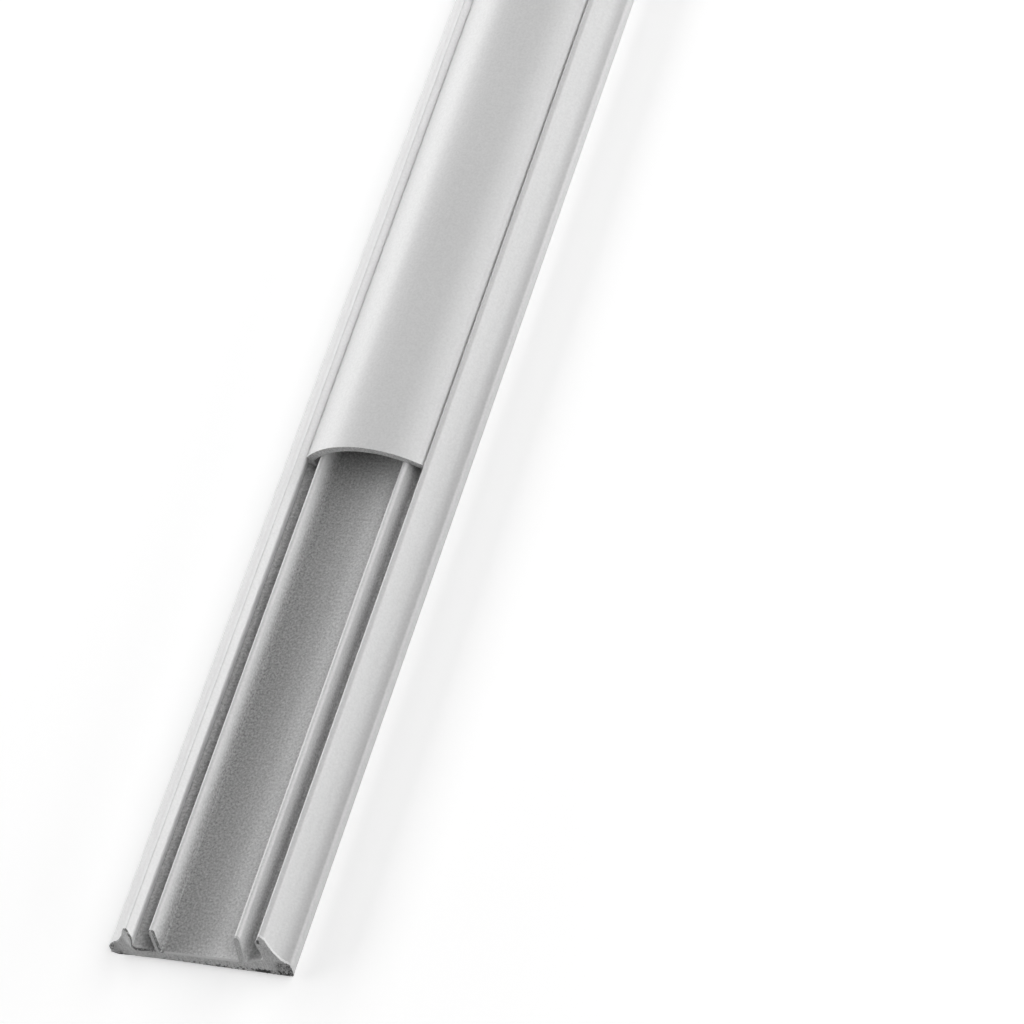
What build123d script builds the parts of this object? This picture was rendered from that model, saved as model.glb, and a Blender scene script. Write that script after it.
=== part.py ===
"""Floor raceway: a low PVC channel that is stuck to the floor, with a domed cover that snaps into it.

All sizes are in millimetres. X runs across the raceway, Y along it with the open end at -Y, and Z is up.
The four pieces are straight extrusions along Y, so each one is a section in XZ and two end positions.
Sections are drawn with the base's underside at z = 0 and then raised onto the tape.
"""
from build123d import *
import math
import os

# Lengths along the raceway
STOCK_LENGTH = 1000.0
COVER_SET_BACK = 134.0

# Base: overall width, floor plate and the blunt noses at its two sides
BASE_WIDTH = 50.0
PLATE_THICKNESS = 1.8
NOSE_HEIGHT = 2.4
NOSE_LENGTH = 2.6
NOSE_RISE = 0.35
NOSE_TOP_RADIUS = 1.1
NOSE_BOTTOM_RADIUS = 0.4

# Base: wings, the ramps that rise from the noses to a shoulder and on to a ridge beside the cover
RAMP_RUN = 3.6
RAMP_RISE = 5.4
RAMP_FOOT_RADIUS = 3.4
SHOULDER_RUN = 1.2
SHOULDER_RISE = 0.5
SHOULDER_RADIUS = 1.0
RIDGE_RADIUS = 0.35

# Base: the lip that holds the cover down, between the bevel above it and the groove that runs back below it
BEVEL_RUN = 1.2
BEVEL_DROP = 1.55
LIP_HEIGHT = 0.7
LIP_EDGE_RADIUS = 0.4
GROOVE_MOUTH = 4.1
GROOVE_UNDERCUT = 1.4
GROOVE_FLOOR_RISE = 1.4
GROOVE_RADIUS = 0.8

# Base: the two ribs that carry the cover and wall off the wireway between them
RIB_THICKNESS = 1.6
RIB_ROOT_RADIUS = 0.5

# Base: score lines along the underside
SCORE_INSET = 8.1
SCORE_WIDTH = 0.6
SCORE_DEPTH = 0.3

# Cover: domed shell
COVER_RISE = 6.5
COVER_THICKNESS = 2.0

# Cover: snap legs under its two edges
LEG_THICKNESS = 1.4
LEG_LENGTH = 3.6
LEG_TIP_WIDTH = 0.9
LEG_EDGE_RADIUS = 0.2
BARB_DROP = 1.6

# Clearances between cover and base
SEAM_GAP = 0.25
RIB_GAP = 0.15

# Foam tape and its release liner, set to one side of the underside
TAPE_WIDTH = 29.0
TAPE_INSET = 4.3
TAPE_THICKNESS = 1.0
LINER_THICKNESS = 0.1

# Places across the base, from the nose inwards
NOSE_X = BASE_WIDTH / 2
RAMP_FOOT_X = NOSE_X - NOSE_LENGTH
SHOULDER_X = RAMP_FOOT_X - RAMP_RUN
RIDGE_X = SHOULDER_X - SHOULDER_RUN
LIP_X = RIDGE_X - BEVEL_RUN
GROOVE_X = LIP_X + GROOVE_UNDERCUT
RIB_OUTER_X = LIP_X - GROOVE_MOUTH
RIB_INNER_X = RIB_OUTER_X - RIB_THICKNESS
SCORE_X = NOSE_X - SCORE_INSET
TAPE_X = NOSE_X - TAPE_INSET - TAPE_WIDTH / 2

# Heights above the underside
RAMP_FOOT_Z = NOSE_HEIGHT + NOSE_RISE
SHOULDER_Z = RAMP_FOOT_Z + RAMP_RISE
RIDGE_Z = SHOULDER_Z + SHOULDER_RISE
LIP_TOP_Z = RIDGE_Z - BEVEL_DROP
LIP_BOTTOM_Z = LIP_TOP_Z - LIP_HEIGHT
GROOVE_Z = PLATE_THICKNESS + GROOVE_FLOOR_RISE

# The dome's two arcs, about one axis below the raceway
COVER_EDGE_X = LIP_X - SEAM_GAP
COVER_EDGE_Z = LIP_TOP_Z
COVER_RADIUS = (COVER_EDGE_X**2 + COVER_RISE**2) / (2 * COVER_RISE)
COVER_INNER_RADIUS = COVER_RADIUS - COVER_THICKNESS
COVER_AXIS_Z = COVER_EDGE_Z + COVER_RISE - COVER_RADIUS

# Each rib ends in a half round that just clears the inside of the dome
RIB_RADIUS = RIB_THICKNESS / 2
RIB_X = RIB_INNER_X + RIB_RADIUS
RIB_TIP_DISTANCE = COVER_INNER_RADIUS - RIB_GAP - RIB_RADIUS
RIB_TIP_Z = COVER_AXIS_Z + math.sqrt(RIB_TIP_DISTANCE**2 - RIB_X**2)

# The snap leg follows the lip and the undercut at the seam's gap, as far as its barb, and tapers below it
LEG_INNER_X = COVER_EDGE_X - LEG_THICKNESS
LEG_TIP_X = LEG_INNER_X + LEG_TIP_WIDTH
LEG_BOTTOM_Z = COVER_EDGE_Z - LEG_LENGTH
UNDERCUT_SLOPE = GROOVE_UNDERCUT / (LIP_BOTTOM_Z - GROOVE_Z)
BARB_X = COVER_EDGE_X + BARB_DROP * UNDERCUT_SLOPE
BARB_Z = LIP_BOTTOM_Z - BARB_DROP

# End positions and the height that tape and liner lift the base
NEAR_END_Y = -STOCK_LENGTH / 2
FAR_END_Y = STOCK_LENGTH / 2
UNDERSIDE_Z = LINER_THICKNESS + TAPE_THICKNESS


def mirrored(half):
    """Return a half section joined to its mirror image across the raceway's middle."""
    return half + mirror(half, about=Plane.YZ)


def rounded(section, corners, radius):
    """Return a section with its corners at (x, z) and (-x, z) rounded to one radius."""
    picked = [
        vertex
        for vertex in section.vertices()
        for x, z in corners
        if math.hypot(abs(vertex.X) - x, vertex.Y - z) < 1e-4
    ]
    return fillet(picked, radius)


def base_section():
    """Return the base's section: floor plate, noses, wings with their lips, and ribs."""
    half = make_face(
        Polyline(
            (0, 0),
            (SCORE_X - SCORE_WIDTH / 2, 0),
            (SCORE_X, SCORE_DEPTH),
            (SCORE_X + SCORE_WIDTH / 2, 0),
            (NOSE_X, 0),
            (NOSE_X, NOSE_HEIGHT),
            (RAMP_FOOT_X, RAMP_FOOT_Z),
            (SHOULDER_X, SHOULDER_Z),
            (RIDGE_X, RIDGE_Z),
            (LIP_X, LIP_TOP_Z),
            (LIP_X, LIP_BOTTOM_Z),
            (GROOVE_X, GROOVE_Z),
            (RIB_OUTER_X, PLATE_THICKNESS),
            (RIB_OUTER_X, RIB_TIP_Z),
            (RIB_INNER_X, RIB_TIP_Z),
            (RIB_INNER_X, PLATE_THICKNESS),
            (0, PLATE_THICKNESS),
            close=True,
        )
    )
    rib_tip = Pos(RIB_X, RIB_TIP_Z) * Circle(RIB_RADIUS)
    section = mirrored(half + rib_tip)
    section = rounded(section, [(NOSE_X, 0)], NOSE_BOTTOM_RADIUS)
    section = rounded(section, [(NOSE_X, NOSE_HEIGHT)], NOSE_TOP_RADIUS)
    section = rounded(section, [(RAMP_FOOT_X, RAMP_FOOT_Z)], RAMP_FOOT_RADIUS)
    section = rounded(section, [(SHOULDER_X, SHOULDER_Z)], SHOULDER_RADIUS)
    section = rounded(section, [(RIDGE_X, RIDGE_Z)], RIDGE_RADIUS)
    section = rounded(section, [(LIP_X, LIP_TOP_Z), (LIP_X, LIP_BOTTOM_Z)], LIP_EDGE_RADIUS)
    section = rounded(section, [(GROOVE_X, GROOVE_Z)], GROOVE_RADIUS)
    rib_roots = [(RIB_INNER_X, PLATE_THICKNESS), (RIB_OUTER_X, PLATE_THICKNESS)]
    return rounded(section, rib_roots, RIB_ROOT_RADIUS)


def cover_section():
    """Return the cover's section: a domed shell with a barbed leg under each edge."""
    axis = Pos(0, COVER_AXIS_Z)
    disc = axis * Circle(COVER_RADIUS)
    window = Pos(0, BARB_Z) * Rectangle(2 * COVER_EDGE_X, COVER_RADIUS, align=(Align.CENTER, Align.MIN))
    shell = (disc - axis * Circle(COVER_INNER_RADIUS)) & window
    leg = make_face(
        Polyline(
            (LEG_INNER_X, LEG_BOTTOM_Z),
            (LEG_TIP_X, LEG_BOTTOM_Z),
            (BARB_X, BARB_Z),
            (COVER_EDGE_X, LIP_BOTTOM_Z),
            (COVER_EDGE_X, COVER_EDGE_Z),
            (LEG_INNER_X, COVER_EDGE_Z),
            close=True,
        )
    )
    section = shell + mirrored(leg & disc)
    leg_corners = [(LEG_INNER_X, LEG_BOTTOM_Z), (LEG_TIP_X, LEG_BOTTOM_Z), (BARB_X, BARB_Z)]
    return rounded(section, leg_corners + [(COVER_EDGE_X, COVER_EDGE_Z)], LEG_EDGE_RADIUS)


def strip_section(thickness):
    """Return the section of a flat strip as wide as the tape, with its lower face at z = 0."""
    return Pos(TAPE_X, thickness / 2) * Rectangle(TAPE_WIDTH, thickness)


def extrusion(section, near_y, height):
    """Return a section drawn out from near_y to the far end, raised to a height above the floor."""
    far_plane = Plane(origin=(0, FAR_END_Y, height), x_dir=(1, 0, 0), z_dir=(0, -1, 0))
    return extrude(far_plane * section, amount=FAR_END_Y - near_y)


PARTS = {
    "base_channel": extrusion(base_section(), NEAR_END_Y, UNDERSIDE_Z),
    "cover_strip": extrusion(cover_section(), NEAR_END_Y + COVER_SET_BACK, UNDERSIDE_Z),
    "adhesive_tape": extrusion(strip_section(TAPE_THICKNESS), NEAR_END_Y, LINER_THICKNESS),
    "release_liner": extrusion(strip_section(LINER_THICKNESS), NEAR_END_Y, 0),
}

os.makedirs("parts", exist_ok=True)
for name, part in PARTS.items():
    part.label = name
    export_step(part, f"parts/{name}.step")
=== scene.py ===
"""Dresses the floor raceway: extruded base and cover, foam tape, release liner and a rough-sawn end.

Sizes of the pieces are in millimetres, as on a drawing of the section, and become metres where a mesh is
made. Finishes read the place on a piece in millimetres too, and the studio is laid out in metres. X runs
across the raceway, Y along it with the sawn end at -Y, and Z is up.
"""
import logging
import math
from collections.abc import Callable, Mapping, Sequence
from dataclasses import dataclass
from enum import Enum, IntEnum
from typing import Any

import bmesh
import bpy
from mathutils import Matrix, Vector, noise


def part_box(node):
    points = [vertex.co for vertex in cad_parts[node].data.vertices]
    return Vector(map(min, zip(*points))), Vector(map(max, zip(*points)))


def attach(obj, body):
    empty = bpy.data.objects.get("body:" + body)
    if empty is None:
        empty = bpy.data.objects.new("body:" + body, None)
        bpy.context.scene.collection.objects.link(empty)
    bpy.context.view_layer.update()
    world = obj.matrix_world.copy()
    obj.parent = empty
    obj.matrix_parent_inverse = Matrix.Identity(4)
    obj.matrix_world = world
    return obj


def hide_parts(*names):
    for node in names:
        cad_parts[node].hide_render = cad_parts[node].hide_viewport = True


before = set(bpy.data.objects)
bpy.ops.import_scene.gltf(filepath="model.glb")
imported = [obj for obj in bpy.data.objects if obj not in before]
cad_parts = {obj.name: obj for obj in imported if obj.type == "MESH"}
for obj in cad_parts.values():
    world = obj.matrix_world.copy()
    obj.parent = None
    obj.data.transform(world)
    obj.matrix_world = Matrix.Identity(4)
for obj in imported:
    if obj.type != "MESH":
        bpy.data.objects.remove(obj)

LOG = logging.getLogger("floor_raceway")
BODY = "root"

# Metres in a millimetre, and metres within which two places count as one
MM = 0.001
TOUCH = 1e-6

# In radians: edges sharper than the first are broken, and those flatter than the second are shaded smooth
SHARP_ANGLE = 0.5
SMOOTH_ANGLE = math.radians(32.0)

# Share of a face's normal that points along the raceway, above which the face belongs to an end
END_FACING = 0.6

# Two ends of a fade, two ends of a band with their softness, values for X, Y and Z, and a colour with alpha
Span = tuple[float, float]
Band = tuple[float, float, float]
Triple = tuple[float, float, float]
Colour = tuple[float, float, float, float]


class Slot(Enum):
    """Material slots of the record."""

    PVC = "pvc"
    FOAM = "foam"
    LINER = "liner"


class Pick(Enum):
    """Kinds of mesh element that a selection is made of."""

    EDGE = "edges"
    FACE = "faces"


class Axis(Enum):
    """Axes along which a finish reads the place on a piece."""

    ACROSS = "X"
    ALONG = "Y"
    UP = "Z"


class BaseFace(IntEnum):
    """Faces of the base, in the order of their finishes in its list of materials."""

    OUTSIDE = 0
    INSIDE = 1
    RIM = 2
    NEAR_CUT = 3
    FAR_CUT = 4
    LIP = 5


class CoverFace(IntEnum):
    """Faces of the cover, in the order of their finishes in its list of materials."""

    OUTSIDE = 0
    CUT = 1


@dataclass(frozen=True)
class Room:
    """The box that a plain node of the frame fills."""

    low: Vector
    high: Vector

    @classmethod
    def of(cls, node: str) -> "Room":
        """Return the room of a node."""
        low, high = (Vector(part / MM for part in corner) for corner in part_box(node))
        return cls(low, high)

    def length(self) -> float:
        """Return how far the room reaches along the raceway."""
        return self.high.y - self.low.y


@dataclass(frozen=True)
class Corner:
    """A corner of a section, across (x) and up (z), with the radius that rounds it."""

    x: float
    z: float
    radius: float = 0.0

    def point(self) -> Vector:
        """Return the corner's place in the section."""
        return Vector((self.x, self.z))


class Bench:
    """Modelling steps that several pieces share."""

    @staticmethod
    def start(name: str, add: Callable[..., set[str]], **sizes: Any) -> bpy.types.Object:
        """Add a primitive with nothing else selected.

        Args:
            name: Name of the new piece and of its mesh.
            add: Operator that adds the primitive.
            **sizes: Size and place of the primitive, in metres.

        Returns:
            The new piece.
        """
        bpy.ops.object.select_all(action="DESELECT")
        add(**sizes)
        piece = bpy.context.active_object
        piece.name = name
        piece.data.name = name
        return piece

    @staticmethod
    def select(piece: bpy.types.Object, pick: Pick, wanted: Callable[[Any], bool]) -> None:
        """Select the elements of a piece that pass a test.

        Args:
            piece: Piece in edit mode.
            pick: Kind of element.
            wanted: Test of one element.
        """
        bpy.ops.mesh.select_mode(type=pick.name)
        bpy.ops.mesh.select_all(action="DESELECT")
        mesh = bmesh.from_edit_mesh(piece.data)
        for element in getattr(mesh, pick.value):
            if wanted(element):
                element.select_set(True)
        mesh.select_flush_mode()
        bmesh.update_edit_mesh(piece.data)

    @staticmethod
    def draw_out(piece: bpy.types.Object, length: float) -> None:
        """Extrude a flat section along the raceway.

        Args:
            piece: Piece that holds the section at its near end.
            length: Length of the extrusion.
        """
        bpy.ops.object.mode_set(mode="EDIT")
        bpy.ops.mesh.select_all(action="SELECT")
        bpy.ops.mesh.extrude_region_move(TRANSFORM_OT_translate={"value": (0.0, length * MM, 0.0)})
        bpy.ops.mesh.select_all(action="SELECT")
        bpy.ops.mesh.normals_make_consistent(inside=False)
        bpy.ops.object.mode_set(mode="OBJECT")

    @staticmethod
    def break_edges(piece: bpy.types.Object, end_y: float, width: float, material: int = -1) -> None:
        """Bevel the edges all round an end face.

        Args:
            piece: Piece in edit mode.
            end_y: Place of the end face along the raceway.
            width: Width of the bevel.
            material: Number of the material that the bevel gets; -1 leaves the one of its neighbours.
        """
        Bench.select(
            piece,
            Pick.EDGE,
            lambda edge: all(abs(vertex.co.y - end_y * MM) < TOUCH for vertex in edge.verts)
            and edge.calc_face_angle(0.0) > SHARP_ANGLE,
        )
        bpy.ops.mesh.bevel(
            offset=width * MM, segments=1, affect="EDGES", clamp_overlap=True, material=material
        )

    @staticmethod
    def grid_end(piece: bpy.types.Object, end_y: float, step: float) -> None:
        """Divide an end face into a fine grid, so that it can be made uneven.

        Args:
            piece: Piece in edit mode.
            end_y: Place of the end face along the raceway.
            step: Size of the grid.
        """
        end = end_y * MM
        mesh = bmesh.from_edit_mesh(piece.data)
        corners = [vertex.co.copy() for vertex in mesh.verts if abs(vertex.co.y - end) < TOUCH]
        for axis, normal in ((0, (1.0, 0.0, 0.0)), (2, (0.0, 0.0, 1.0))):
            low = min(corner[axis] for corner in corners)
            high = max(corner[axis] for corner in corners)
            for index in range(1, math.ceil((high - low) / (step * MM))):
                on_plane = Vector((0.0, 0.0, 0.0))
                on_plane[axis] = low + index * step * MM
                Bench.select(piece, Pick.FACE, lambda face: abs(face.calc_center_median().y - end) < TOUCH)
                bpy.ops.mesh.bisect(plane_co=on_plane, plane_no=normal)

    @staticmethod
    def ring(y: float) -> None:
        """Cut a ring of edges round the piece in edit mode at a place along the raceway."""
        bpy.ops.mesh.select_all(action="SELECT")
        bpy.ops.mesh.bisect(plane_co=(0.0, y * MM, 0.0), plane_no=(0.0, 1.0, 0.0))

    @staticmethod
    def finish(piece: bpy.types.Object, slot: Slot, replaced: str | None = None) -> bpy.types.Object:
        """Shade a piece and hand it to the frame.

        Args:
            piece: Finished piece.
            slot: Material slot that it belongs to; not used.
            replaced: Name of the plain node that it stands in for.

        Returns:
            The piece.
        """
        bpy.ops.object.select_all(action="DESELECT")
        piece.select_set(True)
        bpy.context.view_layer.objects.active = piece
        bpy.ops.object.shade_smooth_by_angle(angle=SMOOTH_ANGLE)
        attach(piece, BODY)
        if replaced:
            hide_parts(replaced)
        return piece


class SectionPen:
    """Draws a half section in the XZ plane from vertex to vertex, fills it and mirrors it across X."""

    def __init__(self, name: str, near_y: float, underside_z: float, start: Corner) -> None:
        """Put the first vertex down.

        Args:
            name: Name of the piece that the section belongs to.
            near_y: Place of the section along the raceway.
            underside_z: Height of the section's zero line above the floor.
            start: First corner of the outline.
        """
        self.origin = Vector((0.0, near_y, underside_z)) * MM
        self.at = start.point()
        self.piece = Bench.start(name, bpy.ops.mesh.primitive_plane_add, size=MM)
        bpy.ops.object.mode_set(mode="EDIT")
        bpy.ops.mesh.select_mode(type="VERT")
        bpy.ops.mesh.select_all(action="SELECT")
        bpy.ops.mesh.merge(type="CENTER")
        bpy.ops.transform.translate(value=self.origin + Vector((start.x * MM, 0.0, start.z * MM)))

    def line_to(self, target: Vector) -> None:
        """Draw a straight edge to a place in the section.

        Args:
            target: Where the edge ends, across and up.
        """
        step = (target - self.at) * MM
        bpy.ops.mesh.extrude_vertices_move(TRANSFORM_OT_translate={"value": (step.x, 0.0, step.y)})
        self.at = target.copy()

    def sweep(self, centre: Vector, turn: float, steps: int) -> None:
        """Draw an arc about a centre.

        Args:
            centre: Centre of the arc in the section.
            turn: Angle of the arc in radians, positive from up towards +X.
            steps: Number of straight edges that the arc is made of.
        """
        pivot = self.origin + Vector((centre.x * MM, 0.0, centre.y * MM))
        bpy.ops.mesh.spin(steps=steps, angle=turn, center=pivot, axis=(0.0, -1.0, 0.0))
        self.at = centre + Matrix.Rotation(-turn, 2) @ (self.at - centre)

    def follow(self, corners: Sequence[Corner], steps: int = 8) -> None:
        """Draw straight edges through corners, rounding each one that has a radius.

        Args:
            corners: Corners in order; the last one is the end of the line.
            steps: Number of edges in each rounded corner.
        """
        for corner, following in zip(corners, corners[1:]):
            if not corner.radius:
                self.line_to(corner.point())
                continue
            back = (self.at - corner.point()).normalized()
            ahead = (following.point() - corner.point()).normalized()
            half_angle = back.angle(ahead) / 2
            reach = corner.radius / math.tan(half_angle)
            middle = corner.point() + (back + ahead).normalized() * (corner.radius / math.sin(half_angle))
            side = math.copysign(1.0, back.x * ahead.y - back.y * ahead.x)
            self.line_to(corner.point() + back * reach)
            self.sweep(middle, side * (math.pi - 2 * half_angle), steps)
        self.line_to(corners[-1].point())

    def fill(self) -> bpy.types.Object:
        """Fill the half section and mirror it.

        Returns:
            The piece, in object mode, as a flat section.
        """
        bpy.ops.mesh.select_all(action="SELECT")
        bpy.ops.mesh.edge_face_add()
        bpy.ops.object.mode_set(mode="OBJECT")
        mirror = self.piece.modifiers.new("other half", "MIRROR")
        mirror.merge_threshold = TOUCH
        bpy.ops.object.modifier_apply(modifier=mirror.name)
        return self.piece


class Shade:
    """A value that varies over a surface; Python arithmetic on it adds Math nodes."""

    # Numbers of a Mix node's colour sockets, whose names its other sockets have too
    MIX_LOW = 6
    MIX_HIGH = 7
    MIX_RESULT = 2

    def __init__(self, tree: "ShaderTree", socket: bpy.types.NodeSocket) -> None:
        """Wrap an output socket of a node tree."""
        self.tree = tree
        self.socket = socket

    def _math(self, operation: str, first: Any, second: Any) -> "Shade":
        """Return the result of a Math node on two values."""
        return self.tree.add("ShaderNodeMath", {"operation": operation}, {0: first, 1: second})

    def __add__(self, other: Any) -> "Shade":
        """Return self + other."""
        return self._math("ADD", self, other)

    def __radd__(self, other: Any) -> "Shade":
        """Return other + self."""
        return self._math("ADD", other, self)

    def __sub__(self, other: Any) -> "Shade":
        """Return self - other."""
        return self._math("SUBTRACT", self, other)

    def __rsub__(self, other: Any) -> "Shade":
        """Return other - self."""
        return self._math("SUBTRACT", other, self)

    def __mul__(self, other: Any) -> "Shade":
        """Return self * other."""
        return self._math("MULTIPLY", self, other)

    def __rmul__(self, other: Any) -> "Shade":
        """Return other * self."""
        return self._math("MULTIPLY", other, self)

    def swing(self, amount: Any) -> "Shade":
        """Return a pattern from 0 to 1 as a change of half an amount either way."""
        return (self - 0.5) * amount

    def ramp(self, low: float, high: float) -> "Shade":
        """Return a smooth step from 0 at low to 1 at high."""
        ends = {"Value": self, "From Min": low, "From Max": high}
        return self.tree.add("ShaderNodeMapRange", {"interpolation_type": "SMOOTHSTEP"}, ends)

    def between(self, low: float, high: float, soft: float) -> "Shade":
        """Return 1 between two values and 0 outside, with soft edges."""
        return self.ramp(low - soft, low + soft) * (1.0 - self.ramp(high - soft, high + soft))

    def grey(self) -> "Shade":
        """Return the value as a neutral colour."""
        return self.tree.add("ShaderNodeCombineColor", {}, {"Red": self, "Green": self, "Blue": self})

    def blend(self, low: Any, high: Any) -> "Shade":
        """Return the colour that goes from low to high as the value goes from 0 to 1."""
        sockets = {0: self, self.MIX_LOW: low, self.MIX_HIGH: high}
        return self.tree.add("ShaderNodeMix", {"data_type": "RGBA"}, sockets, self.MIX_RESULT)

    def scaled(self, x: float, y: float, z: float) -> "Shade":
        """Return a vector with each of its parts multiplied."""
        return self.tree.add("ShaderNodeVectorMath", {"operation": "MULTIPLY"}, {0: self, 1: (x, y, z)})

    def length(self) -> "Shade":
        """Return the length of a vector."""
        return self.tree.add("ShaderNodeVectorMath", {"operation": "LENGTH"}, {0: self}, "Value")


class ShaderTree:
    """The node tree of one material or world."""

    def __init__(self, tree: bpy.types.NodeTree) -> None:
        """Take over a node tree and empty it."""
        self.tree = tree
        self.tree.nodes.clear()

    def add(
        self, kind: str, settings: Mapping[str, Any], sockets: Mapping[Any, Any], output: int | str = 0
    ) -> Shade:
        """Add a node.

        Args:
            kind: Type of the node.
            settings: Its properties, which are set first.
            sockets: Values or links of its inputs, by name or number.
            output: Name or number of the output that is wanted.

        Returns:
            The output, ready for arithmetic.
        """
        node = self.tree.nodes.new(kind)
        for name, setting in settings.items():
            setattr(node, name, setting)
        for key, source in sockets.items():
            if isinstance(source, Shade):
                self.tree.links.new(source.socket, node.inputs[key])
            else:
                node.inputs[key].default_value = source
        return Shade(self, node.outputs[output])

    def place(self) -> Shade:
        """Return the place on the piece."""
        return self.add("ShaderNodeTexCoord", {}, {}, "Object").scaled(1.0 / MM, 1.0 / MM, 1.0 / MM)

    def place_along(self, axis: Axis) -> Shade:
        """Return the place on the piece along one axis."""
        return self.add("ShaderNodeSeparateXYZ", {}, {"Vector": self.place()}, axis.value)

    def seen(self) -> Shade:
        """Tell rays that look at a surface from those that light it.

        Returns:
            1 where the surface is looked at directly, in a reflection or through something, else 0.
        """
        kinds = ("Camera", "Glossy", "Transmission")
        rays = [self.add("ShaderNodeLightPath", {}, {}, f"Is {kind} Ray") for kind in kinds]
        return (rays[0] + rays[1] + rays[2]).ramp(0.0, 1.0)

    def bump(self, height: Shade, depth: float) -> Shade:
        """Return a normal that follows a height, whose full range is a depth."""
        return self.add("ShaderNodeBump", {}, {"Height": height, "Distance": depth * MM})

    def principled(self, sockets: Mapping[str, Any]) -> None:
        """Put a Principled surface with these sockets on the material's output."""
        self.end("ShaderNodeOutputMaterial", self.add("ShaderNodeBsdfPrincipled", {}, sockets))

    def end(self, kind: str, shader: Shade) -> None:
        """End the tree in an output node."""
        node = self.tree.nodes.new(kind)
        self.tree.links.new(shader.socket, node.inputs["Surface"])


@dataclass(frozen=True)
class Pattern:
    """Fractal noise: its cells per millimetre, how fine and how rough it is, and how close it lies along Y.

    A closeness below 1 draws the pattern out along the raceway.
    """

    scale: float
    detail: float = 2.0
    roughness: float = 0.5
    closeness: float = 1.0

    def on(self, place: Shade) -> Shade:
        """Lay the pattern on a surface.

        Args:
            place: Place on the surface.

        Returns:
            The pattern, from 0 to 1.
        """
        sockets = {
            "Vector": place.scaled(1.0, self.closeness, 1.0),
            "Scale": self.scale,
            "Detail": self.detail,
            "Roughness": self.roughness,
        }
        return place.tree.add("ShaderNodeTexNoise", {}, sockets)


@dataclass(frozen=True)
class Finish:
    """A surface finish, from which a material is made."""

    name: str

    def material(self) -> bpy.types.Material:
        """Make a material.

        Returns:
            A new material with this finish.
        """
        material = bpy.data.materials.new(self.name)
        material.use_nodes = True
        self.surface(ShaderTree(material.node_tree))
        return material

    def surface(self, tree: ShaderTree) -> None:
        """Build the finish's nodes in a material's node tree."""
        raise NotImplementedError


@dataclass(frozen=True)
class ExtrudedPvc(Finish):
    """Satin white PVC as it leaves the die: faint lines along its length and a fine grain.

    Painted shade makes a length a little grey along the foot of its right ramp, towards the sawn end. The
    edges of a piece that snaps in get painted light: they are whiter beside the seams, against the shade
    there.
    """

    name: str = "extruded_pvc"
    white: float = 0.78
    roughness: float = 0.36
    relief: float = 0.02
    die_lines: Pattern = Pattern(1.4, 3.0, closeness=0.006)
    grain: Pattern = Pattern(1.7, roughness=0.6)
    cloud: Pattern = Pattern(0.06, 3.0, closeness=0.3)
    scuff: Pattern = Pattern(0.5, 4.0, 0.7, closeness=0.05)
    scuffed: Span = (0.6, 0.75)
    # Painted shade along the foot of the right ramp, fading out away from the sawn end
    ramp_painted_shade: float = 0.0
    ramp_painted_shade_across: Span = (18.5, 22.5)
    ramp_painted_shade_until: Span = (-400.0, -250.0)
    # Painted light: the edges beside the seams are whiter
    edge_painted_light: float = 0.0
    right_edge: Span = (14.2, 15.8)
    left_edge: Span = (-16.2, -14.6)

    def surface(self, tree: ShaderTree) -> None:
        """Build the finish's nodes.

        Args:
            tree: Node tree of the material.
        """
        place = tree.place()
        across = tree.place_along(Axis.ACROSS)
        die_lines = self.die_lines.on(place)
        grain = self.grain.on(place)
        cloud = self.cloud.on(place)
        scuff = self.scuff.on(place).ramp(*self.scuffed)
        white = self.white + cloud.swing(0.05) + die_lines.swing(0.03) + grain.swing(0.2) - scuff * 0.02
        # Painted light on the edges beside the seams
        if self.edge_painted_light:
            edges = across.ramp(*self.right_edge) + (1.0 - across.ramp(*self.left_edge))
            white = white + edges * self.edge_painted_light
        # Painted shade: grey along the foot of the right ramp near the sawn end
        if self.ramp_painted_shade:
            near = 1.0 - tree.place_along(Axis.ALONG).ramp(*self.ramp_painted_shade_until)
            white = white - across.ramp(*self.ramp_painted_shade_across) * near * self.ramp_painted_shade
        rough = self.roughness + cloud.swing(0.1) + grain.swing(0.08) + scuff * 0.1
        normal = tree.bump(grain * 0.6 + die_lines * 0.4, self.relief)
        tree.principled({"Base Color": white.grey(), "Roughness": rough, "Normal": normal})


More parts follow.
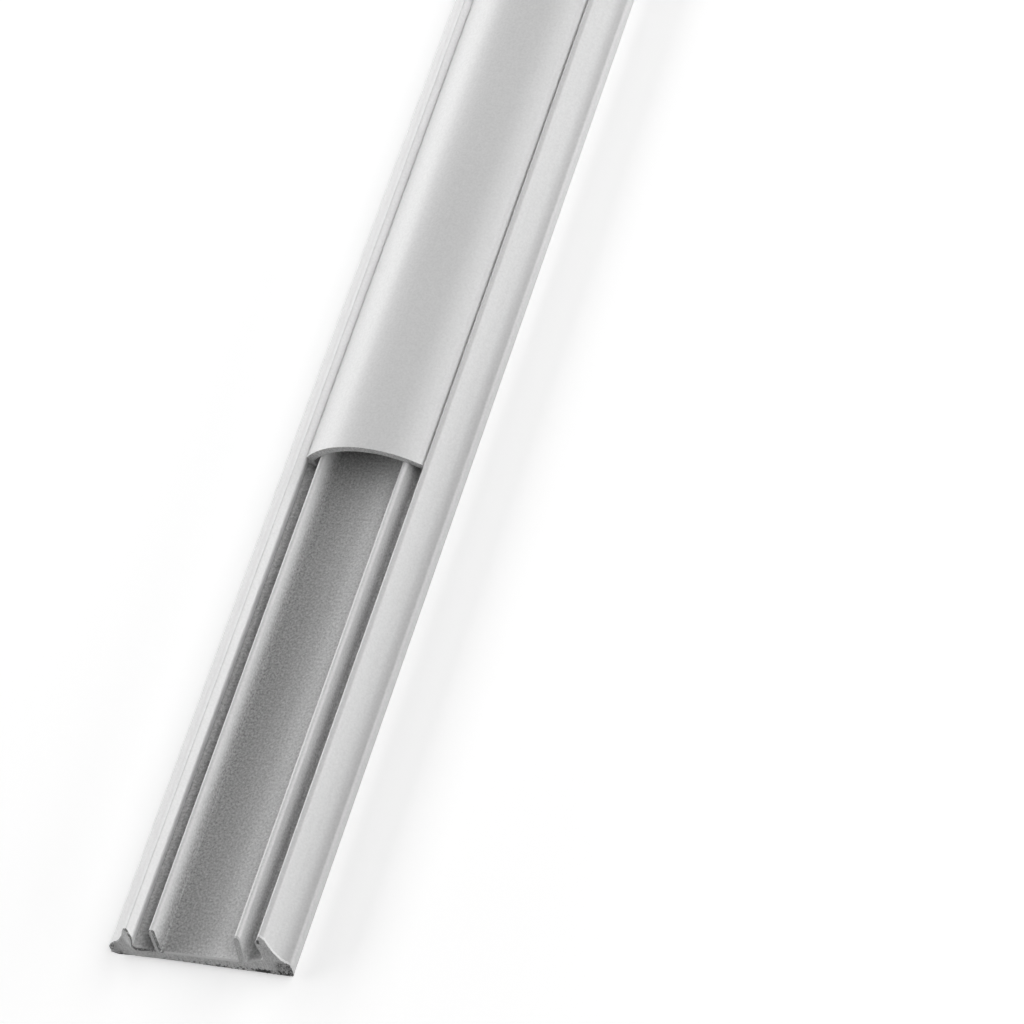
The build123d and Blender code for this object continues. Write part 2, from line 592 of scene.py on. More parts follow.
@dataclass(frozen=True)
class InnerPvc(Finish):
    """Grainy PVC inside the channel and the grooves, with painted shade low down, most of it on the left."""

    name: str = "inner_pvc"
    white: float = 0.78
    roughness: float = 0.5
    relief: float = 0.03
    grain: Pattern = Pattern(1.7, roughness=0.7)
    cloud: Pattern = Pattern(0.09, 3.0, closeness=0.2)
    draw_lines: Pattern = Pattern(1.1, 3.0, closeness=0.008)
    underside_z: float = 0.0
    # Painted shade: the channel is darker low down, fading out between two heights
    painted_shade_white: float = 0.56
    unshaded_above: Span = (2.2, 8.2)
    # Painted shadow: darker still in the grooves and most beside the foot of the left rib
    painted_shadow_depth: float = 0.27
    groove_painted_shadow: float = 0.33
    rib_painted_shadow: float = 0.65
    rib_painted_shadow_from: Span = (-13.5, -12.5)
    rib_painted_shadow_until: Span = (-11.0, 1.0)
    # Painted light: most of the painted shade is taken away beside the right rib
    right_painted_light: float = 0.9
    right_painted_light_from: Span = (-1.0, 6.5)
    right_painted_light_until: Span = (9.5, 10.5)
    # Painted highlight along the crests of the ribs
    crest_painted_highlight: float = 0.17
    crest_painted_highlight_above: Span = (7.1, 7.7)
    left_crest: Band = (-12.4, -11.7, 0.2)
    right_crest: Band = (10.6, 11.3, 0.2)

    def surface(self, tree: ShaderTree) -> None:
        """Build the finish's nodes.

        Args:
            tree: Node tree of the material.
        """
        place = tree.place()
        across = tree.place_along(Axis.ACROSS)
        up = tree.place_along(Axis.UP) - self.underside_z
        grain = self.grain.on(place)
        cloud = self.cloud.on(place)
        draw_lines = self.draw_lines.on(place)
        unshaded = up.ramp(*self.unshaded_above)
        # Painted shade, darker towards the bottom of the channel
        dust_and_painted_shade = (1.0 - unshaded) * self.dust_and_painted_shade(across)
        crests = across.between(*self.left_crest) + across.between(*self.right_crest)
        tint = grain.swing(0.9 - unshaded * 0.65) + cloud.swing(0.08) + draw_lines.swing(0.04)
        # Painted highlight on the rib crests
        white = self.white - dust_and_painted_shade + up.ramp(*self.crest_painted_highlight_above) * crests * self.crest_painted_highlight + tint
        rough = self.roughness + grain.swing(0.2)
        normal = tree.bump(grain, self.relief)
        tree.principled({"Base Color": white.grey(), "Roughness": rough, "Normal": normal})

    def dust_and_painted_shade(self, across: Shade) -> Shade:
        """Work out how much white the painted shade takes: most by the left rib, little by the right.

        Args:
            across: Place across the raceway.

        Returns:
            The loss of white at the bottom.
        """
        # Painted shadow, deepest beside the left rib
        at_rib = across.ramp(*self.rib_painted_shadow_from) * (self.rib_painted_shadow - self.groove_painted_shadow)
        painted_shadow = self.groove_painted_shadow + at_rib - across.ramp(*self.rib_painted_shadow_until) * self.rib_painted_shadow
        # Painted light beside the right rib
        right_painted_light = across.ramp(*self.right_painted_light_from) * (1.0 - across.ramp(*self.right_painted_light_until))
        return (self.white - self.painted_shade_white + painted_shadow * self.painted_shadow_depth) * (1.0 - right_painted_light * self.right_painted_light)


@dataclass(frozen=True)
class SawMarks:
    """Marks in the saw cut: dark specks along its lower edge, a black patch, mottled corners and dark marks.
    """

    black: Colour = (0.012, 0.012, 0.012, 1.0)
    speck: Pattern = Pattern(1.5, 3.0, 0.7)
    crumb: Pattern = Pattern(2.6, 3.0, 0.7)
    speckled: Span = (0.5, 0.6)
    specks_below: Span = (0.2, 1.3)
    specks_across: Span = (-30.0, 12.0)
    patch: Band = (15.2, 19.0, 0.9)
    patch_below: Span = (0.5, 0.9)
    patch_ragged: float = 3.0
    right_corner: Span = (18.7, 21.6)
    right_corner_below: Span = (2.4, 3.4)
    right_mottle: Span = (0.42, 0.62)
    left_corner: Span = (-24.5, -20.5)
    left_mottle: Span = (0.48, 0.62)
    lip_mark_across: Band = (16.8, 17.6, 0.2)
    lip_mark_up: Band = (6.8, 7.8, 0.2)
    rib_outer_side: Band = (-12.3, -11.9, 0.1)
    rib_inner_side: Band = (-11.1, -10.8, 0.1)
    rib_marks_up: Band = (2.0, 7.6, 0.4)
    rib_mottle: Span = (0.38, 0.52)

    def mask(self, tree: ShaderTree, across: Shade, up: Shade) -> Shade:
        """Work out how dark the marks make the cut.

        Args:
            tree: Node tree of the material.
            across: Place across the raceway.
            up: Height above the underside.

        Returns:
            0 where the cut is unmarked and 1 where it is black.
        """
        speck = self.speck.on(tree.place())
        crumb = self.crumb.on(tree.place())
        low_edge = 1.0 - up.ramp(*self.specks_below)
        specks = low_edge * speck.ramp(*self.speckled) * across.ramp(*self.specks_across)
        ragged_up = up + speck.swing(self.patch_ragged)
        patch = across.between(*self.patch) * (1.0 - ragged_up.ramp(*self.patch_below))
        right_corner = across.ramp(*self.right_corner) * (1.0 - up.ramp(*self.right_corner_below))
        left_corner = 1.0 - across.ramp(*self.left_corner)
        corners = right_corner * (0.3 + crumb.ramp(*self.right_mottle) * 0.55)
        corners = corners + left_corner * (0.12 + crumb.ramp(*self.left_mottle) * 0.7)
        lip_mark = across.between(*self.lip_mark_across) * up.between(*self.lip_mark_up) * 0.8
        rib_sides = across.between(*self.rib_outer_side) + across.between(*self.rib_inner_side)
        rib_marks = rib_sides * up.between(*self.rib_marks_up) * speck.ramp(*self.rib_mottle) * 0.75
        return (specks + patch + corners + lip_mark + rib_marks).ramp(0.0, 1.0)


@dataclass(frozen=True)
class SawnPvc(Finish):
    """PVC where a saw went through it: dull, scored by the teeth, and darkened where marks are given."""

    name: str = "sawn_pvc"
    white: float = 0.66
    roughness: float = 0.75
    relief: float = 0.12
    score: Pattern = Pattern(2.6, 3.0)
    grain: Pattern = Pattern(2.6, 3.0, 0.65)
    underside_z: float = 0.0
    stroke_lean: float = 0.3
    stroke_spread: float = 0.12
    cut_marks: SawMarks | None = None

    def surface(self, tree: ShaderTree) -> None:
        """Build the finish's nodes.

        Args:
            tree: Node tree of the material.
        """
        across = tree.place_along(Axis.ACROSS)
        up = tree.place_along(Axis.UP) - self.underside_z
        leaning = {"X": across + up * self.stroke_lean, "Z": up * self.stroke_spread}
        score = self.score.on(tree.add("ShaderNodeCombineXYZ", {}, leaning))
        grain = self.grain.on(tree.place())
        colour = (self.white + grain.swing(0.9) + score.swing(0.4)).grey()
        if self.cut_marks:
            colour = self.cut_marks.mask(tree, across, up).blend(colour, self.cut_marks.black)
        normal = tree.bump(score * 0.5 + grain * 0.5, self.relief)
        tree.principled({"Base Color": colour, "Roughness": self.roughness, "Normal": normal})


@dataclass(frozen=True)
class CutEdge(Finish):
    """The rim of the sawn end: painted highlight along the right ramp, dark and broken along the left edges.
    """

    name: str = "cut_edge"
    white: float = 0.62
    roughness: float = 0.6
    relief: float = 0.1
    grain: Pattern = Pattern(1.8, 3.0, 0.7)
    underside_z: float = 0.0
    # Painted highlight along the rim of the right ramp
    painted_highlight_from: Span = (16.6, 17.2)
    painted_highlight_above: Span = (2.2, 3.0)
    dark_until: Span = (-10.2, -9.8)
    dark_above: Span = (1.2, 2.0)
    dark_mottle: Span = (0.38, 0.5)
    low_edge: Span = (0.2, 0.6)
    low_mottle: Span = (0.45, 0.6)

    def surface(self, tree: ShaderTree) -> None:
        """Build the finish's nodes.

        Args:
            tree: Node tree of the material.
        """
        across = tree.place_along(Axis.ACROSS)
        up = tree.place_along(Axis.UP) - self.underside_z
        grain = self.grain.on(tree.place())
        # Painted highlight on the rim of the right ramp
        painted_highlight = across.ramp(*self.painted_highlight_from) * up.ramp(*self.painted_highlight_above)
        left = 1.0 - across.ramp(*self.dark_until)
        dark = left * up.ramp(*self.dark_above) * grain.ramp(*self.dark_mottle)
        low = (1.0 - up.ramp(*self.low_edge)) * grain.ramp(*self.low_mottle)
        white = self.white + painted_highlight * 0.35 - dark * 0.52 - low * 0.5 + grain.swing(0.15)
        normal = tree.bump(grain, self.relief)
        tree.principled({"Base Color": white.grey(), "Roughness": self.roughness, "Normal": normal})


@dataclass(frozen=True)
class Foam(Finish):
    """White closed-cell foam with small pores."""

    name: str = "white_foam"
    white: float = 0.78
    roughness: float = 0.85
    relief: float = 0.12
    cell_scale: float = 3.2
    pore_reach: float = 0.5
    dust_and_painted_shade: Pattern = Pattern(0.18, 4.0, 0.6)

    def surface(self, tree: ShaderTree) -> None:
        """Build the finish's nodes.

        Args:
            tree: Node tree of the material.
        """
        place = tree.place()
        sockets = {"Vector": place, "Scale": self.cell_scale}
        cells = tree.add("ShaderNodeTexVoronoi", {}, sockets, "Distance")
        pores = (self.pore_reach - cells).ramp(0.0, self.pore_reach)
        dust_and_painted_shade = self.dust_and_painted_shade.on(place)
        white = self.white - pores * 0.12 + dust_and_painted_shade.swing(0.08)
        rough = self.roughness + dust_and_painted_shade.swing(0.1)
        normal = tree.bump(cells, self.relief)
        tree.principled({"Base Color": white.grey(), "Roughness": rough, "Normal": normal})


@dataclass(frozen=True)
class Film(Finish):
    """Thin blue release film with faint creases."""

    name: str = "blue_film"
    dark: Colour = (0.008, 0.15, 0.5, 1.0)
    light: Colour = (0.015, 0.22, 0.66, 1.0)
    roughness: float = 0.24
    relief: float = 0.12
    crease: Pattern = Pattern(0.22, 4.0, 0.65, closeness=0.4)
    creased: Span = (0.3, 0.7)
    grain: Pattern = Pattern(2.0)

    def surface(self, tree: ShaderTree) -> None:
        """Build the finish's nodes.

        Args:
            tree: Node tree of the material.
        """
        place = tree.place()
        crease = self.crease.on(place)
        grain = self.grain.on(place)
        colour = crease.ramp(*self.creased).blend(self.dark, self.light)
        rough = self.roughness + crease * 0.16 + grain.swing(0.05)
        normal = tree.bump(crease * 0.8 + grain * 0.2, self.relief)
        tree.principled({"Base Color": colour, "Roughness": rough, "Normal": normal})


@dataclass(frozen=True)
class PaleFloor(Finish):
    """A plain pale studio floor that keeps the shadow near the raceway and shows white beyond it."""

    name: str = "pale_floor"
    white: float = 0.85
    roughness: float = 0.9
    mottle: Pattern = Pattern(0.003)
    lift: float = 0.47
    white_beyond: Span = (300.0, 1000.0)
    drawn_out: float = 0.5

    def surface(self, tree: ShaderTree) -> None:
        """Build the finish's nodes.

        Args:
            tree: Node tree of the material.
        """
        place = tree.place()
        mottle = self.mottle.on(place)
        away = place.scaled(1.0, self.drawn_out, 0.0).length()
        lift = self.lift + away.ramp(*self.white_beyond) * (1.0 - self.lift)
        sockets = {
            "Base Color": (self.white + mottle.swing(0.01)).grey(),
            "Roughness": self.roughness,
            "Specular IOR Level": 0.0,
            "Emission Color": (tree.seen() * lift).grey(),
            "Emission Strength": 1.0,
        }
        tree.principled(sockets)


@dataclass(frozen=True)
class Ripple:
    """Unevenness of one size: its waves per millimetre across and up, its height and its pattern's seed."""

    across: float
    up: float
    height: float
    seed: float = 0.0

    def at(self, x: float, z: float, shift: float = 0.0) -> float:
        """Return how far a surface is out of true at a place; a shift gives another pattern."""
        return self.height * noise.noise(Vector((x * self.across, self.seed + shift, z * self.up)))


@dataclass(frozen=True)
class SawCut:
    """The hand-sawn near end: out of square, slanting back towards the top, and torn at the noses.

    The cut runs back by its skew per millimetre across and by its slant per millimetre up. Twist changes the
    slant across the section, and the left lip stands out of the cut.
    """

    start: float = 1.05
    least: float = 0.05
    skew: float = -0.02
    slant: float = 0.45
    twist: float = 0.007
    lip: Corner = Corner(-16.3, 5.8)
    lip_stands: float = 1.9
    lip_width: float = 2.2
    lip_height: float = 3.5
    torn_from_x: float = 21.0
    torn_to_x: float = 23.0
    torn_below_z: float = 3.2
    sawn: tuple[Ripple, ...] = (Ripple(1.1, 1.1, 0.12), Ripple(2.6, 2.6, 0.08, 5.0))
    torn: tuple[Ripple, ...] = (Ripple(1.1, 1.1, 0.2), Ripple(2.6, 2.6, 0.4, 5.0))

    def back(self, x: float, z: float) -> float:
        """Work out how far the cut lies behind the near end.

        Args:
            x: Place across the section.
            z: Height above the underside.

        Returns:
            The distance along the raceway.
        """
        plane = self.start + self.skew * x + (self.slant + self.twist * x) * z
        off_lip = ((x - self.lip.x) / self.lip_width) ** 2 + ((z - self.lip.z) / self.lip_height) ** 2
        return max(self.least, plane - self.lip_stands * math.exp(-off_lip))

    def tear(self, x: float, z: float) -> float:
        """Work out how far the surface of the cut is out of true.

        Args:
            x: Place across the section.
            z: Height above the underside.

        Returns:
            The distance along the raceway, positive away from the near end.
        """
        outwards = (abs(x) - self.torn_from_x) / (self.torn_to_x - self.torn_from_x)
        share = min(1.0, max(0.0, outwards)) * min(1.0, max(0.0, self.torn_below_z - z))
        sawn = sum(ripple.at(x, z) for ripple in self.sawn)
        torn = sum(ripple.at(x, z) for ripple in self.torn)
        return sawn + share * torn


@dataclass(frozen=True)
class BaseSection:
    """Half of the base's section, with heights above the underside."""

    half_width: float = 25.0
    plate: float = 1.8
    score_x: float = 16.9
    score_depth: float = 0.3
    heel_radius: float = 0.4
    nose_z: float = 2.4
    nose_radius: float = 1.1
    ramp: tuple[Corner, ...] = (Corner(23.4, 2.95, 6.0), Corner(21.9, 3.75, 6.0), Corner(20.2, 5.6, 6.0))
    shoulder: Corner = Corner(18.8, 8.15, 1.0)
    ridge: Corner = Corner(17.6, 8.65, 0.35)
    lip_x: float = 16.4
    lip_top_z: float = 7.1
    lip_top_radius: float = 0.12
    lip_bottom_z: float = 6.4
    lip_bottom_radius: float = 0.4
    groove: Corner = Corner(17.8, 3.2, 0.8)
    rib_outer_x: float = 12.3
    rib_inner_x: float = 10.7
    rib_top_z: float = 7.892
    rib_tip_flat: float = 0.002
    rib_outer_root: float = 0.5
    rib_inner_root: float = 0.25
    margin: float = 0.1

    def outline(self) -> list[Corner]:
        """List the corners from the underside out to the nose and back in along the top.

        Returns:
            The corners, which end in the middle of the plate's top.
        """
        rib_radius = (self.rib_outer_x - self.rib_inner_x) / 2 - self.rib_tip_flat
        return [
            Corner(self.score_x - self.score_depth, 0.0),
            Corner(self.score_x, self.score_depth),
            Corner(self.score_x + self.score_depth, 0.0),
            Corner(self.half_width, 0.0, self.heel_radius),
            Corner(self.half_width, self.nose_z, self.nose_radius),
            *self.ramp,
            self.shoulder,
            self.ridge,
            Corner(self.lip_x, self.lip_top_z, self.lip_top_radius),
            Corner(self.lip_x, self.lip_bottom_z, self.lip_bottom_radius),
            self.groove,
            Corner(self.rib_outer_x, self.plate, self.rib_outer_root),
            Corner(self.rib_outer_x, self.rib_top_z, rib_radius),
            Corner(self.rib_inner_x, self.rib_top_z, rib_radius),
            Corner(self.rib_inner_x, self.plate, self.rib_inner_root),
            Corner(0.0, self.plate),
        ]

    def is_inside(self, x: float, z: float) -> bool:
        """Tell whether a place lies in the channel, on a rib or in a groove.

        Args:
            x: Distance from the middle.
            z: Height above the underside.

        Returns:
            True inside, False on the wings, the noses and the underside.
        """
        in_channel = x < self.rib_outer_x + self.margin
        in_groove = x < self.groove.x + self.margin and z < self.lip_bottom_z
        return z > self.plate - self.margin and (in_channel or in_groove)


@dataclass
class BaseChannel:
    """The extruded base: floor plate, ramped wings with lips over undercut grooves, and two ribs."""

    near_y: float
    length: float
    underside_z: float
    section: BaseSection = BaseSection()
    cut: SawCut = SawCut()
    cut_depth: float = 1.0
    grid: float = 0.4
    rim: float = 0.2
    # Faces this far back from the near end get the rim finish, with its painted highlight
    rim_finish_reach: float = 0.55
    sound_from: float = 12.0
    far_rim: float = 0.12
    undercut_facing: float = -0.2

    def build(self) -> bpy.types.Object:
        """Model the base and dress it.

        Returns:
            The finished piece.
        """
        pen = SectionPen("base_extrusion", self.near_y, self.underside_z, Corner(0.0, 0.0))
        pen.follow(self.section.outline())
        piece = pen.fill()
        Bench.draw_out(piece, self.length)
        finishes = {
            # The outside has painted shade along the foot of its right ramp
            BaseFace.OUTSIDE: ExtrudedPvc(ramp_painted_shade=0.12),
            BaseFace.INSIDE: InnerPvc(underside_z=self.underside_z),
            BaseFace.RIM: CutEdge(underside_z=self.underside_z),
            BaseFace.NEAR_CUT: SawnPvc(underside_z=self.underside_z, cut_marks=SawMarks()),
            BaseFace.FAR_CUT: SawnPvc("sawn_far_end"),
            # The lips' top faces are painted whiter than the rest, as painted light
            BaseFace.LIP: ExtrudedPvc("rubbed_pvc", white=0.95),
        }
        for kind in BaseFace:
            piece.data.materials.append(finishes[kind].material())
        self.saw(piece)
        for face in piece.data.polygons:
            if face.material_index == BaseFace.OUTSIDE:
                face.material_index = self.kind_of(face)
        return Bench.finish(piece, Slot.PVC, "base_channel")

    def kind_of(self, face: bpy.types.MeshPolygon) -> BaseFace:
        """Tell of what kind a face is that isn't part of the rim.

        Args:
            face: A face of the sawn base.

        Returns:
            Its kind.
        """
        x = abs(face.center.x) / MM
        y = face.center.y / MM
        z = face.center.z / MM - self.underside_z
        if abs(face.normal.y) > END_FACING:
            return BaseFace.NEAR_CUT if y < self.near_y + self.length / 2 else BaseFace.FAR_CUT
        if face.normal.z > self.undercut_facing and self.section.is_inside(x, z):
            return BaseFace.INSIDE
        # Faces between the ridge and the lip get the whiter finish, as painted light
        if x < self.section.ridge.x and z > self.section.plate:
            return BaseFace.LIP
        return BaseFace.OUTSIDE

    def saw(self, piece: bpy.types.Object) -> None:
        """Break the edges of both ends and cut the near one on the slant, with an uneven face.

        Args:
            piece: The extrusion with square ends.
        """
        bpy.ops.object.mode_set(mode="EDIT")
        Bench.break_edges(piece, self.near_y, self.rim, BaseFace.RIM)
        Bench.break_edges(piece, self.near_y + self.length, self.far_rim)
        Bench.grid_end(piece, self.near_y, self.grid)
        Bench.ring(self.near_y + self.rim_finish_reach)
        Bench.ring(self.near_y + self.sound_from)
        bpy.ops.object.mode_set(mode="OBJECT")
        for face in piece.data.polygons:
            if abs(face.normal.y) < END_FACING and face.center.y < (self.near_y + self.rim_finish_reach) * MM:
                face.material_index = BaseFace.RIM
        for vertex in piece.data.vertices:
            if vertex.co.y < (self.near_y + self.cut_depth) * MM:
                x, z = vertex.co.x / MM, vertex.co.z / MM - self.underside_z
                vertex.co.y += max(0.0, self.cut.back(x, z) + self.cut.tear(x, z)) * MM


@dataclass
class CoverStrip:
    """The domed cover with a barbed snap leg under each edge."""

    near_y: float
    length: float
    underside_z: float
    crown_z: float
    base: BaseSection = BaseSection()
    seam: float = 0.25
    radius: float = 23.3133
    thickness: float = 2.0
    edge_round: float = 0.08
    leg_thickness: float = 1.4
    leg_bottom_z: float = 3.5
    leg_tip: float = 0.9
    leg_round: float = 0.2
    barb_reach: float = 0.7
    barb_drop: float = 1.6
    rim: float = 0.12
    pushed: float = -0.245
    dome_steps: int = 40
    edge_steps: int = 5

    def build(self) -> bpy.types.Object:
        """Model the cover and dress it.

        Returns:
            The finished piece.
        """
        piece = self.outline().fill()
        Bench.draw_out(piece, self.length)
        bpy.ops.object.mode_set(mode="EDIT")
        for end_y in (self.near_y, self.near_y + self.length):
            Bench.break_edges(piece, end_y, self.rim)
        bpy.ops.mesh.select_all(action="SELECT")
        bpy.ops.transform.translate(value=(self.pushed * MM, 0.0, 0.0))
        bpy.ops.object.mode_set(mode="OBJECT")
        finishes = {
            # The cover's edges are painted whiter beside the seams, as painted light
            CoverFace.OUTSIDE: ExtrudedPvc("snapped_pvc", edge_painted_light=0.17),
            CoverFace.CUT: SawnPvc("sawn_cover"),
        }
        for kind in CoverFace:
            piece.data.materials.append(finishes[kind].material())
        for face in piece.data.polygons:
            face.material_index = CoverFace.CUT if abs(face.normal.y) > END_FACING else CoverFace.OUTSIDE
        return Bench.finish(piece, Slot.PVC, "cover_strip")

    def outline(self) -> SectionPen:
        """Draw the half section: over the dome, round its edge, down and up the leg and back under it.

        Returns:
            The pen at the end of the line.
        """
        crown = self.crown_z - self.underside_z
        axis = Vector((0.0, crown - self.radius))
        edge_x = self.base.lip_x - self.seam
        edge_reach = self.radius - self.edge_round
        edge_middle_x = edge_x - self.edge_round
        edge_middle = Vector((edge_middle_x, math.sqrt(edge_reach**2 - edge_middle_x**2)))
        turn = math.asin(edge_middle_x / edge_reach)
        inner = self.radius - self.thickness
        heel_x = edge_x - self.leg_thickness
        leg_top_z = self.base.lip_bottom_z
        leg = [
            Corner(edge_x, leg_top_z),
            Corner(edge_x + self.barb_reach, leg_top_z - self.barb_drop, self.leg_round),
            Corner(heel_x + self.leg_tip, self.leg_bottom_z, self.leg_round),
            Corner(heel_x, self.leg_bottom_z, self.leg_round),
            Corner(heel_x, axis.y + math.sqrt(inner**2 - heel_x**2)),
        ]
        pen = SectionPen("cover_extrusion", self.near_y, self.underside_z, Corner(0.0, crown))
        pen.sweep(axis, turn, self.dome_steps)
        pen.sweep(axis + edge_middle, math.pi / 2 - turn, self.edge_steps)
        pen.follow(leg)
        pen.sweep(axis, -math.asin(heel_x / inner), self.dome_steps)
        return pen


@dataclass
class BackingStrip:
    """A strip under the base, the foam tape or its liner, with a near end torn off behind the saw cut."""

    name: str
    replaced: str
    slot: Slot
    finish: Finish
    seed: float = 0.0
    cut: SawCut = SawCut()
    set_back: float = 1.6
    tears: tuple[Ripple, ...] = (Ripple(0.35, 0.7, 1.0), Ripple(1.4, 0.9, 0.5))
    tear_depth: float = 1.0
    comb: float = 0.6
    sound_from: float = 10.0

    def build(self) -> bpy.types.Object:
        """Model the strip and dress it.

        Returns:
            The finished piece.
        """
        room = Room.of(self.replaced)
        middle = (room.low + room.high) / 2 * MM
        size = (room.high - room.low) * MM
        piece = Bench.start(self.name, bpy.ops.mesh.primitive_cube_add, size=1.0, location=middle, scale=size)
        bpy.ops.object.transform_apply(location=True, rotation=True, scale=True)
        bpy.ops.object.mode_set(mode="EDIT")
        Bench.grid_end(piece, room.low.y, self.comb)
        Bench.ring(room.low.y + self.sound_from)
        bpy.ops.object.mode_set(mode="OBJECT")
        for vertex in piece.data.vertices:
            if vertex.co.y < (room.low.y + self.tear_depth) * MM:
                x, z = vertex.co.x / MM, vertex.co.z / MM
                tear = sum(ripple.at(x, z, self.seed) for ripple in self.tears)
                vertex.co.y += (self.set_back + self.cut.back(x, 0.0) + tear) * MM
        piece.data.materials.append(self.finish.material())
        return Bench.finish(piece, self.slot, self.replaced)


@dataclass(frozen=True)
class Lump:
    """Where the middle of a crumbled lump of burr sits, and how far it reaches across, along and up."""

    name: str
    x: float
    z: float
    reach: Triple


@dataclass
class Burrs:
    """What the saw left at the near end: a ragged fringe under the cut and a crumbled lump at each nose."""

    near_y: float
    underside_z: float
    cut: SawCut = SawCut()
    fringe_reach: float = 24.5
    fringe_steps: int = 170
    fringe_rows: int = 2
    fringe_top: float = 0.3
    fringe_hang: float = 0.18
    fringe_least: float = 0.04
    fringe_waves: Ripple = Ripple(1.7, 0.0, 0.5, 2.0)
    fringe_teeth: Ripple = Ripple(4.0, 0.0, 0.25, 7.0)
    fringe_curl: Ripple = Ripple(2.2, 1.0, 0.3, 9.0)
    fringe_behind: float = 0.12
    fringe_thickness: float = 0.12
    lumps: tuple[Lump, ...] = (
        Lump("right_burr", 23.05, 1.35, (1.85, 0.9, 1.25)),
        Lump("left_burr", -23.5, 1.3, (1.45, 0.85, 1.25)),
    )
    lump_fineness: int = 5
    lump_behind: float = 0.25
    lump_core: float = 0.8
    crumb_pitch: float = 1.6
    crumb_depth: float = 0.3
    grit_pitch: float = 4.0
    grit_depth: float = 0.22

    def build(self) -> list[bpy.types.Object]:
        """Model the burrs and dress them.

        Returns:
            The finished pieces.
        """
        finish = SawnPvc("torn_pvc", underside_z=self.underside_z, cut_marks=SawMarks()).material()
        pieces = [self.fringe(), *(self.crumble(lump) for lump in self.lumps)]
        for piece in pieces:
            piece.data.materials.append(finish)
            Bench.finish(piece, Slot.PVC)
        return pieces

    def fringe(self) -> bpy.types.Object:
        """Model a thin strip that hangs ragged from the lower edge of the cut.

        Returns:
            The strip.
        """
        grid = {"x_subdivisions": self.fringe_steps, "y_subdivisions": self.fringe_rows, "size": 1.0}
        piece = Bench.start("lower_fringe", bpy.ops.mesh.primitive_grid_add, **grid)
        for vertex in piece.data.vertices:
            x = vertex.co.x * 2 * self.fringe_reach
            hangs = 0.5 - vertex.co.y
            ragged = self.fringe_hang + abs(self.fringe_waves.at(x, 0.0)) + self.fringe_teeth.at(x, 0.0)
            y = self.cut.back(x, 0.0) + self.fringe_behind + hangs * self.fringe_curl.at(x, hangs)
            z = self.fringe_top - hangs * (self.fringe_top + max(self.fringe_least, ragged))
            vertex.co = self.at(Vector((x, y, z)))
        thick = piece.modifiers.new("thickness", "SOLIDIFY")
        thick.thickness = self.fringe_thickness * MM
        bpy.ops.object.modifier_apply(modifier=thick.name)
        return piece

    def crumble(self, lump: Lump) -> bpy.types.Object:
        """Model a crumbled lump of burr on the cut.

        Args:
            lump: Its name, place and reach.

        Returns:
            The lump.
        """
        ball = {"subdivisions": self.lump_fineness, "radius": 1.0}
        piece = Bench.start(lump.name, bpy.ops.mesh.primitive_ico_sphere_add, **ball)
        cut_back = self.cut.back(lump.x, lump.z)
        middle = Vector((lump.x, cut_back + self.lump_behind, lump.z))
        for vertex in piece.data.vertices:
            spot = Vector(vertex.co[i] * lump.reach[i] for i in range(3))
            crumbs = self.crumb_depth * noise.noise(spot * self.crumb_pitch)
            grit = self.grit_depth * noise.noise(spot * self.grit_pitch + middle)
            place = middle + spot * min(1.0, self.lump_core + crumbs + grit)
            place.y += self.cut.back(place.x, place.z) - cut_back
            vertex.co = self.at(place)
        return piece

    def at(self, place: Vector) -> Vector:
        """Return where a place behind the near end and above the underside lies in the frame, in metres."""
        return (place + Vector((0.0, self.near_y, self.underside_z))) * MM


@dataclass(frozen=True)
class Lamp:
    """A long soft lamp: its lean from overhead in degrees, to the right if positive, its width and power."""

    name: str
    lean: float
    width: float
    watts: float


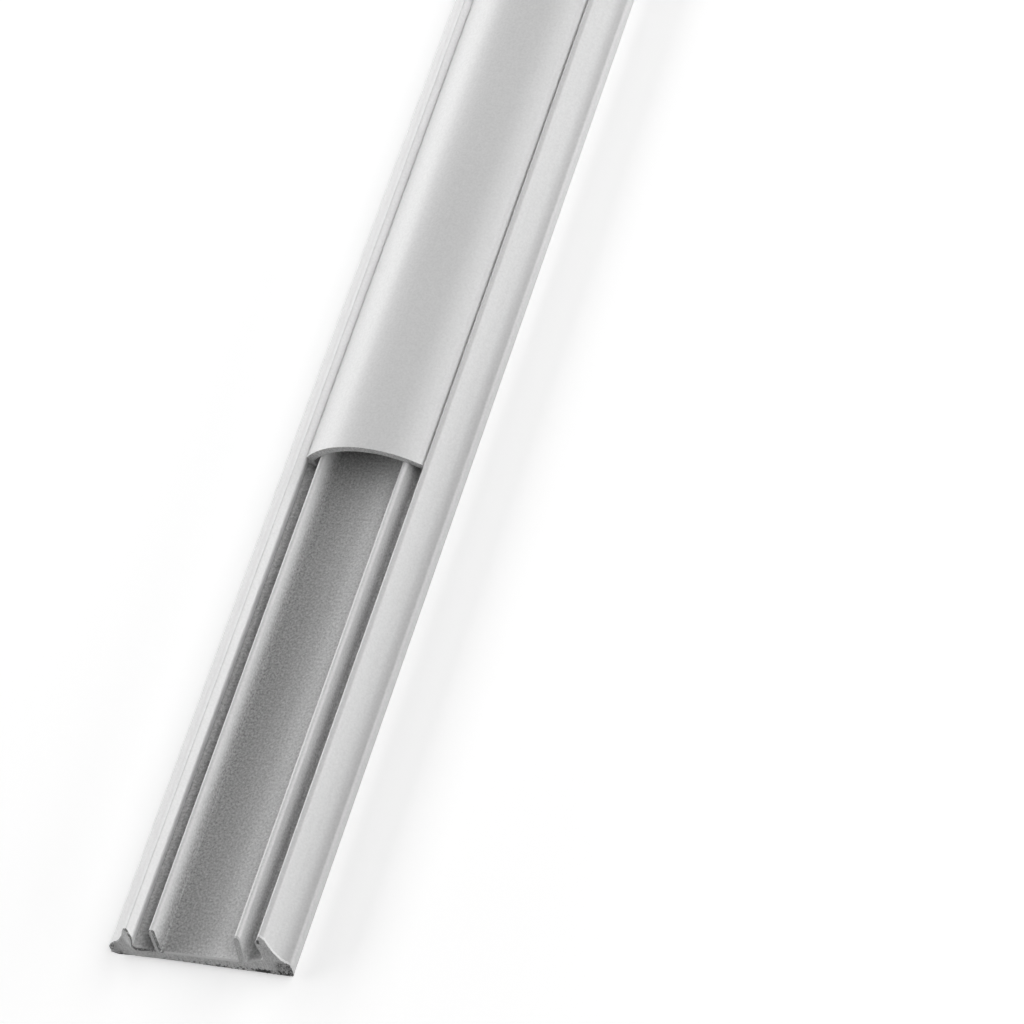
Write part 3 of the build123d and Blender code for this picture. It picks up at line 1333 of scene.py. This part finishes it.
@dataclass
class Studio:
    """Plain floor, long soft lamps at both sides and the camera, in metres."""

    floor_size: float = 60.0
    clearance: float = 0.0001
    lamps: tuple[Lamp, ...] = (
        Lamp("left_softbox", -54.0, 0.3, 4.0),
        Lamp("left_wing", -68.0, 0.3, 22.0),
        Lamp("left_low_strip", -86.0, 0.3, 13.0),
        Lamp("right_softbox", 46.0, 0.9, 24.0),
        Lamp("right_low_strip", 78.0, 0.3, 10.0),
    )
    lamp_reach: float = 1.6
    lamp_length: float = 3.4
    lamp_middle: float = 0.5
    camera_place: Triple = (0.68362, -0.95752, 1.03035)
    camera_right: Triple = (0.87649, 0.29338, -0.38169)
    camera_up: Triple = (-0.05859, 0.85197, 0.52031)
    lens: float = 199.06
    sensor: float = 36.0
    sight: Span = (0.01, 100.0)

    def build(self) -> None:
        """Set the whole studio up."""
        self.lay_floor()
        self.hang_sky()
        for lamp in self.lamps:
            self.hang_lamp(lamp)
        self.stand_camera()

    def lay_floor(self) -> None:
        """Lay the floor."""
        sizes = {"size": self.floor_size, "location": (0.0, 0.0, -self.clearance)}
        floor = Bench.start("studio_floor", bpy.ops.mesh.primitive_plane_add, **sizes)
        floor.data.materials.append(PaleFloor().material())

    def hang_sky(self) -> None:
        """Show plain white all round without lighting the raceway by it."""
        world = bpy.data.worlds.new("studio")
        world.use_nodes = True
        tree = ShaderTree(world.node_tree)
        white = {"Color": (1.0, 1.0, 1.0, 1.0), "Strength": tree.seen()}
        tree.end("ShaderNodeOutputWorld", tree.add("ShaderNodeBackground", {}, white))
        bpy.context.scene.world = world

    def hang_lamp(self, lamp: Lamp) -> None:
        """Hang a lamp beside the raceway and point it at the raceway's middle line.

        Args:
            lamp: The lamp's name and settings.
        """
        data = bpy.data.lights.new(lamp.name, "AREA")
        data.shape = "RECTANGLE"
        data.size, data.size_y = self.lamp_length, lamp.width
        data.energy = lamp.watts
        lean = math.radians(lamp.lean)
        away = Vector((math.sin(lean), 0.0, math.cos(lean)))
        along = Vector((0.0, 1.0, 0.0))
        turn = Matrix((along, away.cross(along), away)).transposed().to_4x4()
        hung = bpy.data.objects.new(lamp.name, data)
        hung.matrix_world = Matrix.Translation(away * self.lamp_reach + along * self.lamp_middle) @ turn
        hung.visible_camera = False
        bpy.context.collection.objects.link(hung)

    def stand_camera(self) -> None:
        """Stand the camera up and make it the scene's."""
        data = bpy.data.cameras.new("camera")
        data.lens = self.lens
        data.sensor_width = self.sensor
        data.clip_start, data.clip_end = self.sight
        right, up = Vector(self.camera_right), Vector(self.camera_up)
        turn = Matrix((right, up, right.cross(up))).transposed().to_4x4()
        camera = bpy.data.objects.new("camera", data)
        camera.matrix_world = Matrix.Translation(self.camera_place) @ turn
        bpy.context.collection.objects.link(camera)
        bpy.context.scene.camera = camera
        bpy.context.scene.view_settings.view_transform = "Standard"


def main() -> None:
    """Build every piece and the studio, and log how many faces each piece has."""
    logging.basicConfig(level=logging.INFO, format="%(name)s: %(message)s")
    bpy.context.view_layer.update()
    base = Room.of("base_channel")
    cover = Room.of("cover_strip")
    pieces = [
        BaseChannel(base.low.y, base.length(), base.low.z).build(),
        CoverStrip(cover.low.y, cover.length(), base.low.z, cover.high.z).build(),
        BackingStrip("foam_tape", "adhesive_tape", Slot.FOAM, Foam()).build(),
        BackingStrip("liner_film", "release_liner", Slot.LINER, Film(), seed=4.0).build(),
        *Burrs(base.low.y, base.low.z).build(),
    ]
    for piece in pieces:
        LOG.info("%s: %d faces", piece.name, len(piece.data.polygons))
    Studio().build()


if __name__ == "__main__":
    main()
